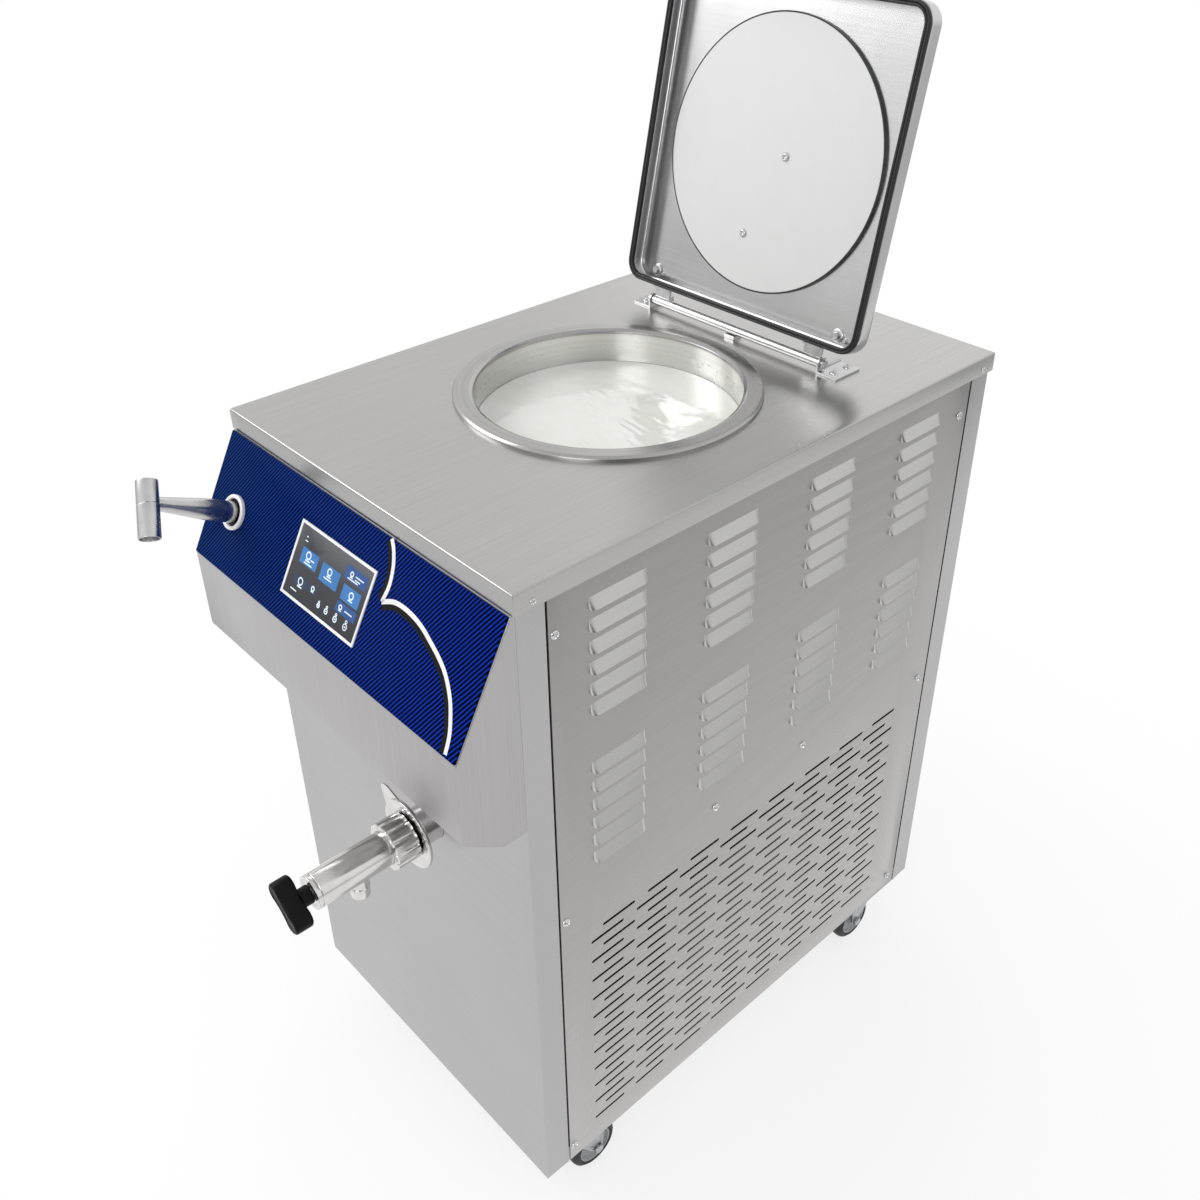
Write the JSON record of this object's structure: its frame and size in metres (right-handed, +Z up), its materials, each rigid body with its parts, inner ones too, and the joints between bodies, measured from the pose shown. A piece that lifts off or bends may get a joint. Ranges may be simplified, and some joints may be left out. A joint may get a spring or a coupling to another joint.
{
  "type": "milk pasteurizer",
  "caption": "Free-standing stainless batch milk pasteurizer: lidded jacketed bowl, sloped touch control head, front drain valve, louvred casing on swivel casters.",
  "frame": {"origin": "centre of the overall bounding box at floor level", "axes": "+Z up, the control head and drain valve face -Y, +X is the slotted air inlet side"},
  "size_m": [0.566, 1.068, 1.5519],
  "materials": {
    "aluminium_fins": "satin",
    "black_paint": "gloss",
    "black_plastic": "satin",
    "blue_fascia": "satin print",
    "brass": "satin",
    "galvanized": "zinc",
    "grey_plastic": "satin",
    "insulation": "matte",
    "painted_motor": "satin",
    "pale_plastic": "satin",
    "polished_steel": "polished",
    "rubber": "matte",
    "screen_glass": "gloss",
    "stainless": "brushed",
    "tyre": "matte",
    "white_plastic": "satin"
  },
  "bodies": {
    "cabinet": {"bowl": "polished_steel", "bowl_jacket": "insulation", "bowl_ring": "stainless", "cabinet_screws": "polished_steel", "cable_gland": "black_plastic", "caster_plates": "galvanized", "compressor": "black_paint", "condenser": "aluminium_fins", "control_fascia": "blue_fascia", "control_head": "stainless", "cross_rails": "galvanized", "electrical_box": "painted_motor", "fan_motor": "black_paint", "floor_tray": "galvanized", "front_panel": "stainless", "gear_motor": "painted_motor", "hinge_bolts": "polished_steel", "hinge_brackets": "polished_steel", "hinge_rod": "polished_steel", "outlet_pipe": "polished_steel", "post_front_left": "galvanized", "post_front_right": "galvanized", "post_rear_left": "galvanized", "post_rear_right": "galvanized", "rear_panel": "stainless", "screen_bezel": "white_plastic", "side_panel_left": "stainless", "side_panel_right": "stainless", "spray_collar": "white_plastic", "top_cover": "stainless", "touch_screen": "screen_glass", "union_nut": "polished_steel", "valve_body": "polished_steel", "water_inlet": "brass"},
    "lid": {"lid_shell": "stainless", "lid_gasket": "rubber", "lid_liner": "pale_plastic", "liner_screws": "polished_steel", "lid_hinge_leaf": "polished_steel"},
    "plunger": {"valve_plunger": "pale_plastic"},
    "knob": {"valve_spindle": "polished_steel", "valve_knob": "black_plastic"},
    "spray_swivel": {"spray_guide": "black_plastic"},
    "spray": {"spray_handle": "polished_steel", "spray_head": "polished_steel"},
    "stirrer": {"stirrer_shaft": "stainless", "stirrer": "stainless"},
    "fan": {"fan_blades": "black_plastic"},
    "caster_front_left": {"caster_fork_front_left": "galvanized"},
    "wheel_front_left": {"caster_rim_front_left": "grey_plastic", "caster_tyre_front_left": "tyre"},
    "caster_front_right": {"caster_fork_front_right": "galvanized"},
    "wheel_front_right": {"caster_rim_front_right": "grey_plastic", "caster_tyre_front_right": "tyre"},
    "caster_rear_left": {"caster_fork_rear_left": "galvanized"},
    "wheel_rear_left": {"caster_rim_rear_left": "grey_plastic", "caster_tyre_rear_left": "tyre"},
    "caster_rear_right": {"caster_fork_rear_right": "galvanized"},
    "wheel_rear_right": {"caster_rim_rear_right": "grey_plastic", "caster_tyre_rear_right": "tyre"}
  },
  "joints": [
    {"name": "lid_hinge", "type": "hinge", "parent": "cabinet", "child": "lid", "pos_m": [0, 0.2918, 1.113], "axis": [1, 0, 0], "range_deg": [0, 101.94]},
    {"name": "plunger_slide", "type": "slide", "parent": "cabinet", "child": "plunger", "axis": [0, -1, 0], "range_m": [0, 0.042]},
    {"name": "knob_turn", "type": "hinge", "parent": "plunger", "child": "knob", "pos_m": [0.078, -0.497, 0.654], "axis": [0, -1, 0], "range_deg": [0, 720]},
    {"name": "spray_turn", "type": "hinge", "parent": "cabinet", "child": "spray_swivel", "pos_m": [-0.216, -0.36924, 0.9955], "axis": [0, -0.8785, 0.4778], "continuous": true},
    {"name": "spray_pull", "type": "slide", "parent": "spray_swivel", "child": "spray", "axis": [0, -0.8785, 0.4778], "range_m": [0, 0.045]},
    {"name": "stirrer_spin", "type": "hinge", "parent": "cabinet", "child": "stirrer", "pos_m": [0, 0.0575, 0.627], "axis": [0, 0, 1], "continuous": true},
    {"name": "fan_spin", "type": "hinge", "parent": "cabinet", "child": "fan", "pos_m": [0.1565, 0.094, 0.272], "axis": [1, 0, 0], "continuous": true},
    {"name": "caster_front_left_swivel", "type": "hinge", "parent": "cabinet", "child": "caster_front_left", "pos_m": [-0.241, -0.242, 0.105], "axis": [0, 0, 1], "continuous": true},
    {"name": "wheel_front_left_spin", "type": "hinge", "parent": "caster_front_left", "child": "wheel_front_left", "pos_m": [-0.241, -0.214, 0.04], "axis": [1, 0, 0], "continuous": true},
    {"name": "caster_front_right_swivel", "type": "hinge", "parent": "cabinet", "child": "caster_front_right", "pos_m": [0.241, -0.242, 0.105], "axis": [0, 0, 1], "continuous": true},
    {"name": "wheel_front_right_spin", "type": "hinge", "parent": "caster_front_right", "child": "wheel_front_right", "pos_m": [0.241, -0.214, 0.04], "axis": [1, 0, 0], "continuous": true},
    {"name": "caster_rear_left_swivel", "type": "hinge", "parent": "cabinet", "child": "caster_rear_left", "pos_m": [-0.241, 0.43, 0.105], "axis": [0, 0, 1], "continuous": true},
    {"name": "wheel_rear_left_spin", "type": "hinge", "parent": "caster_rear_left", "child": "wheel_rear_left", "pos_m": [-0.241, 0.402, 0.04], "axis": [1, 0, 0], "continuous": true},
    {"name": "caster_rear_right_swivel", "type": "hinge", "parent": "cabinet", "child": "caster_rear_right", "pos_m": [0.241, 0.43, 0.105], "axis": [0, 0, 1], "continuous": true},
    {"name": "wheel_rear_right_spin", "type": "hinge", "parent": "caster_rear_right", "child": "wheel_rear_right", "pos_m": [0.241, 0.402, 0.04], "axis": [1, 0, 0], "continuous": true}
  ],
  "couplings": [
    {"joint": "knob_turn", "follows": "plunger_slide", "rad_per_m": 299.2}
  ]
}
